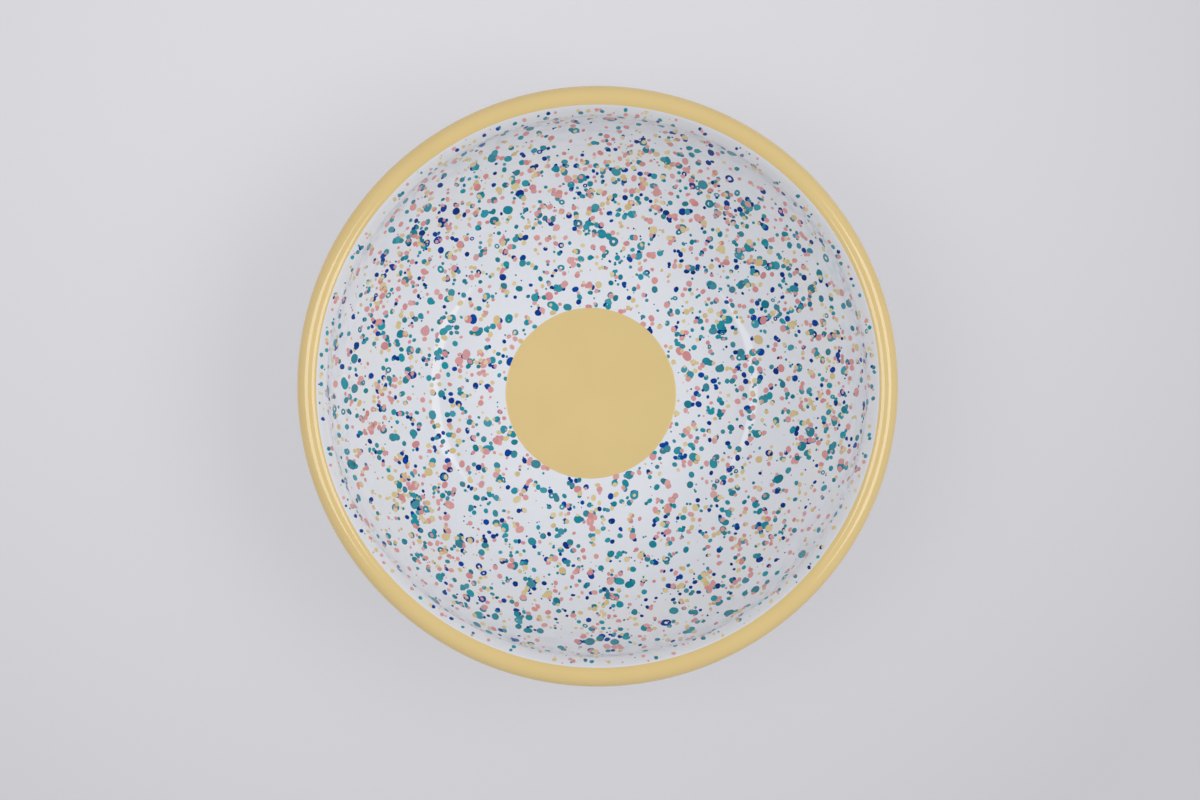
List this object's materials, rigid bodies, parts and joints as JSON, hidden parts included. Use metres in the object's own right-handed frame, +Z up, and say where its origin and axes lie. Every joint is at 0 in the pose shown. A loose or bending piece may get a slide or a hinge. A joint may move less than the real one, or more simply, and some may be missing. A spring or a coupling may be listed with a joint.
{
  "type": "salad bowl",
  "caption": "Round enamelled steel bowl with a rolled yellow rim, curved wall and flat floor with a yellow spot; splattered white glaze; holds and serves food.",
  "frame": {"origin": "middle of the flat face under the floor, which the bowl stands on", "axes": "+Z up along the bowl's axis; +X and +Y in the plane of the table, with the floor spot a little off the axis towards -X and -Y"},
  "size_m": [0.26, 0.26, 0.08],
  "materials": {
    "steel": "pressed sheet, matt",
    "ground_enamel": "dark grip enamel, satin",
    "white_enamel": "glossy vitreous enamel",
    "yellow_enamel": "glossy vitreous enamel",
    "navy_enamel": "glossy enamel drops",
    "teal_enamel": "glossy enamel drops",
    "coral_enamel": "glossy enamel drops"
  },
  "bodies": {
    "root": {"steel_shell": "steel", "ground_coat_inside": "ground_enamel", "ground_coat_outside": "ground_enamel", "white_coat_inside": "white_enamel", "white_coat_outside": "white_enamel", "rim_band": "yellow_enamel", "floor_spot": "yellow_enamel"}
  },
  "joints": []
}
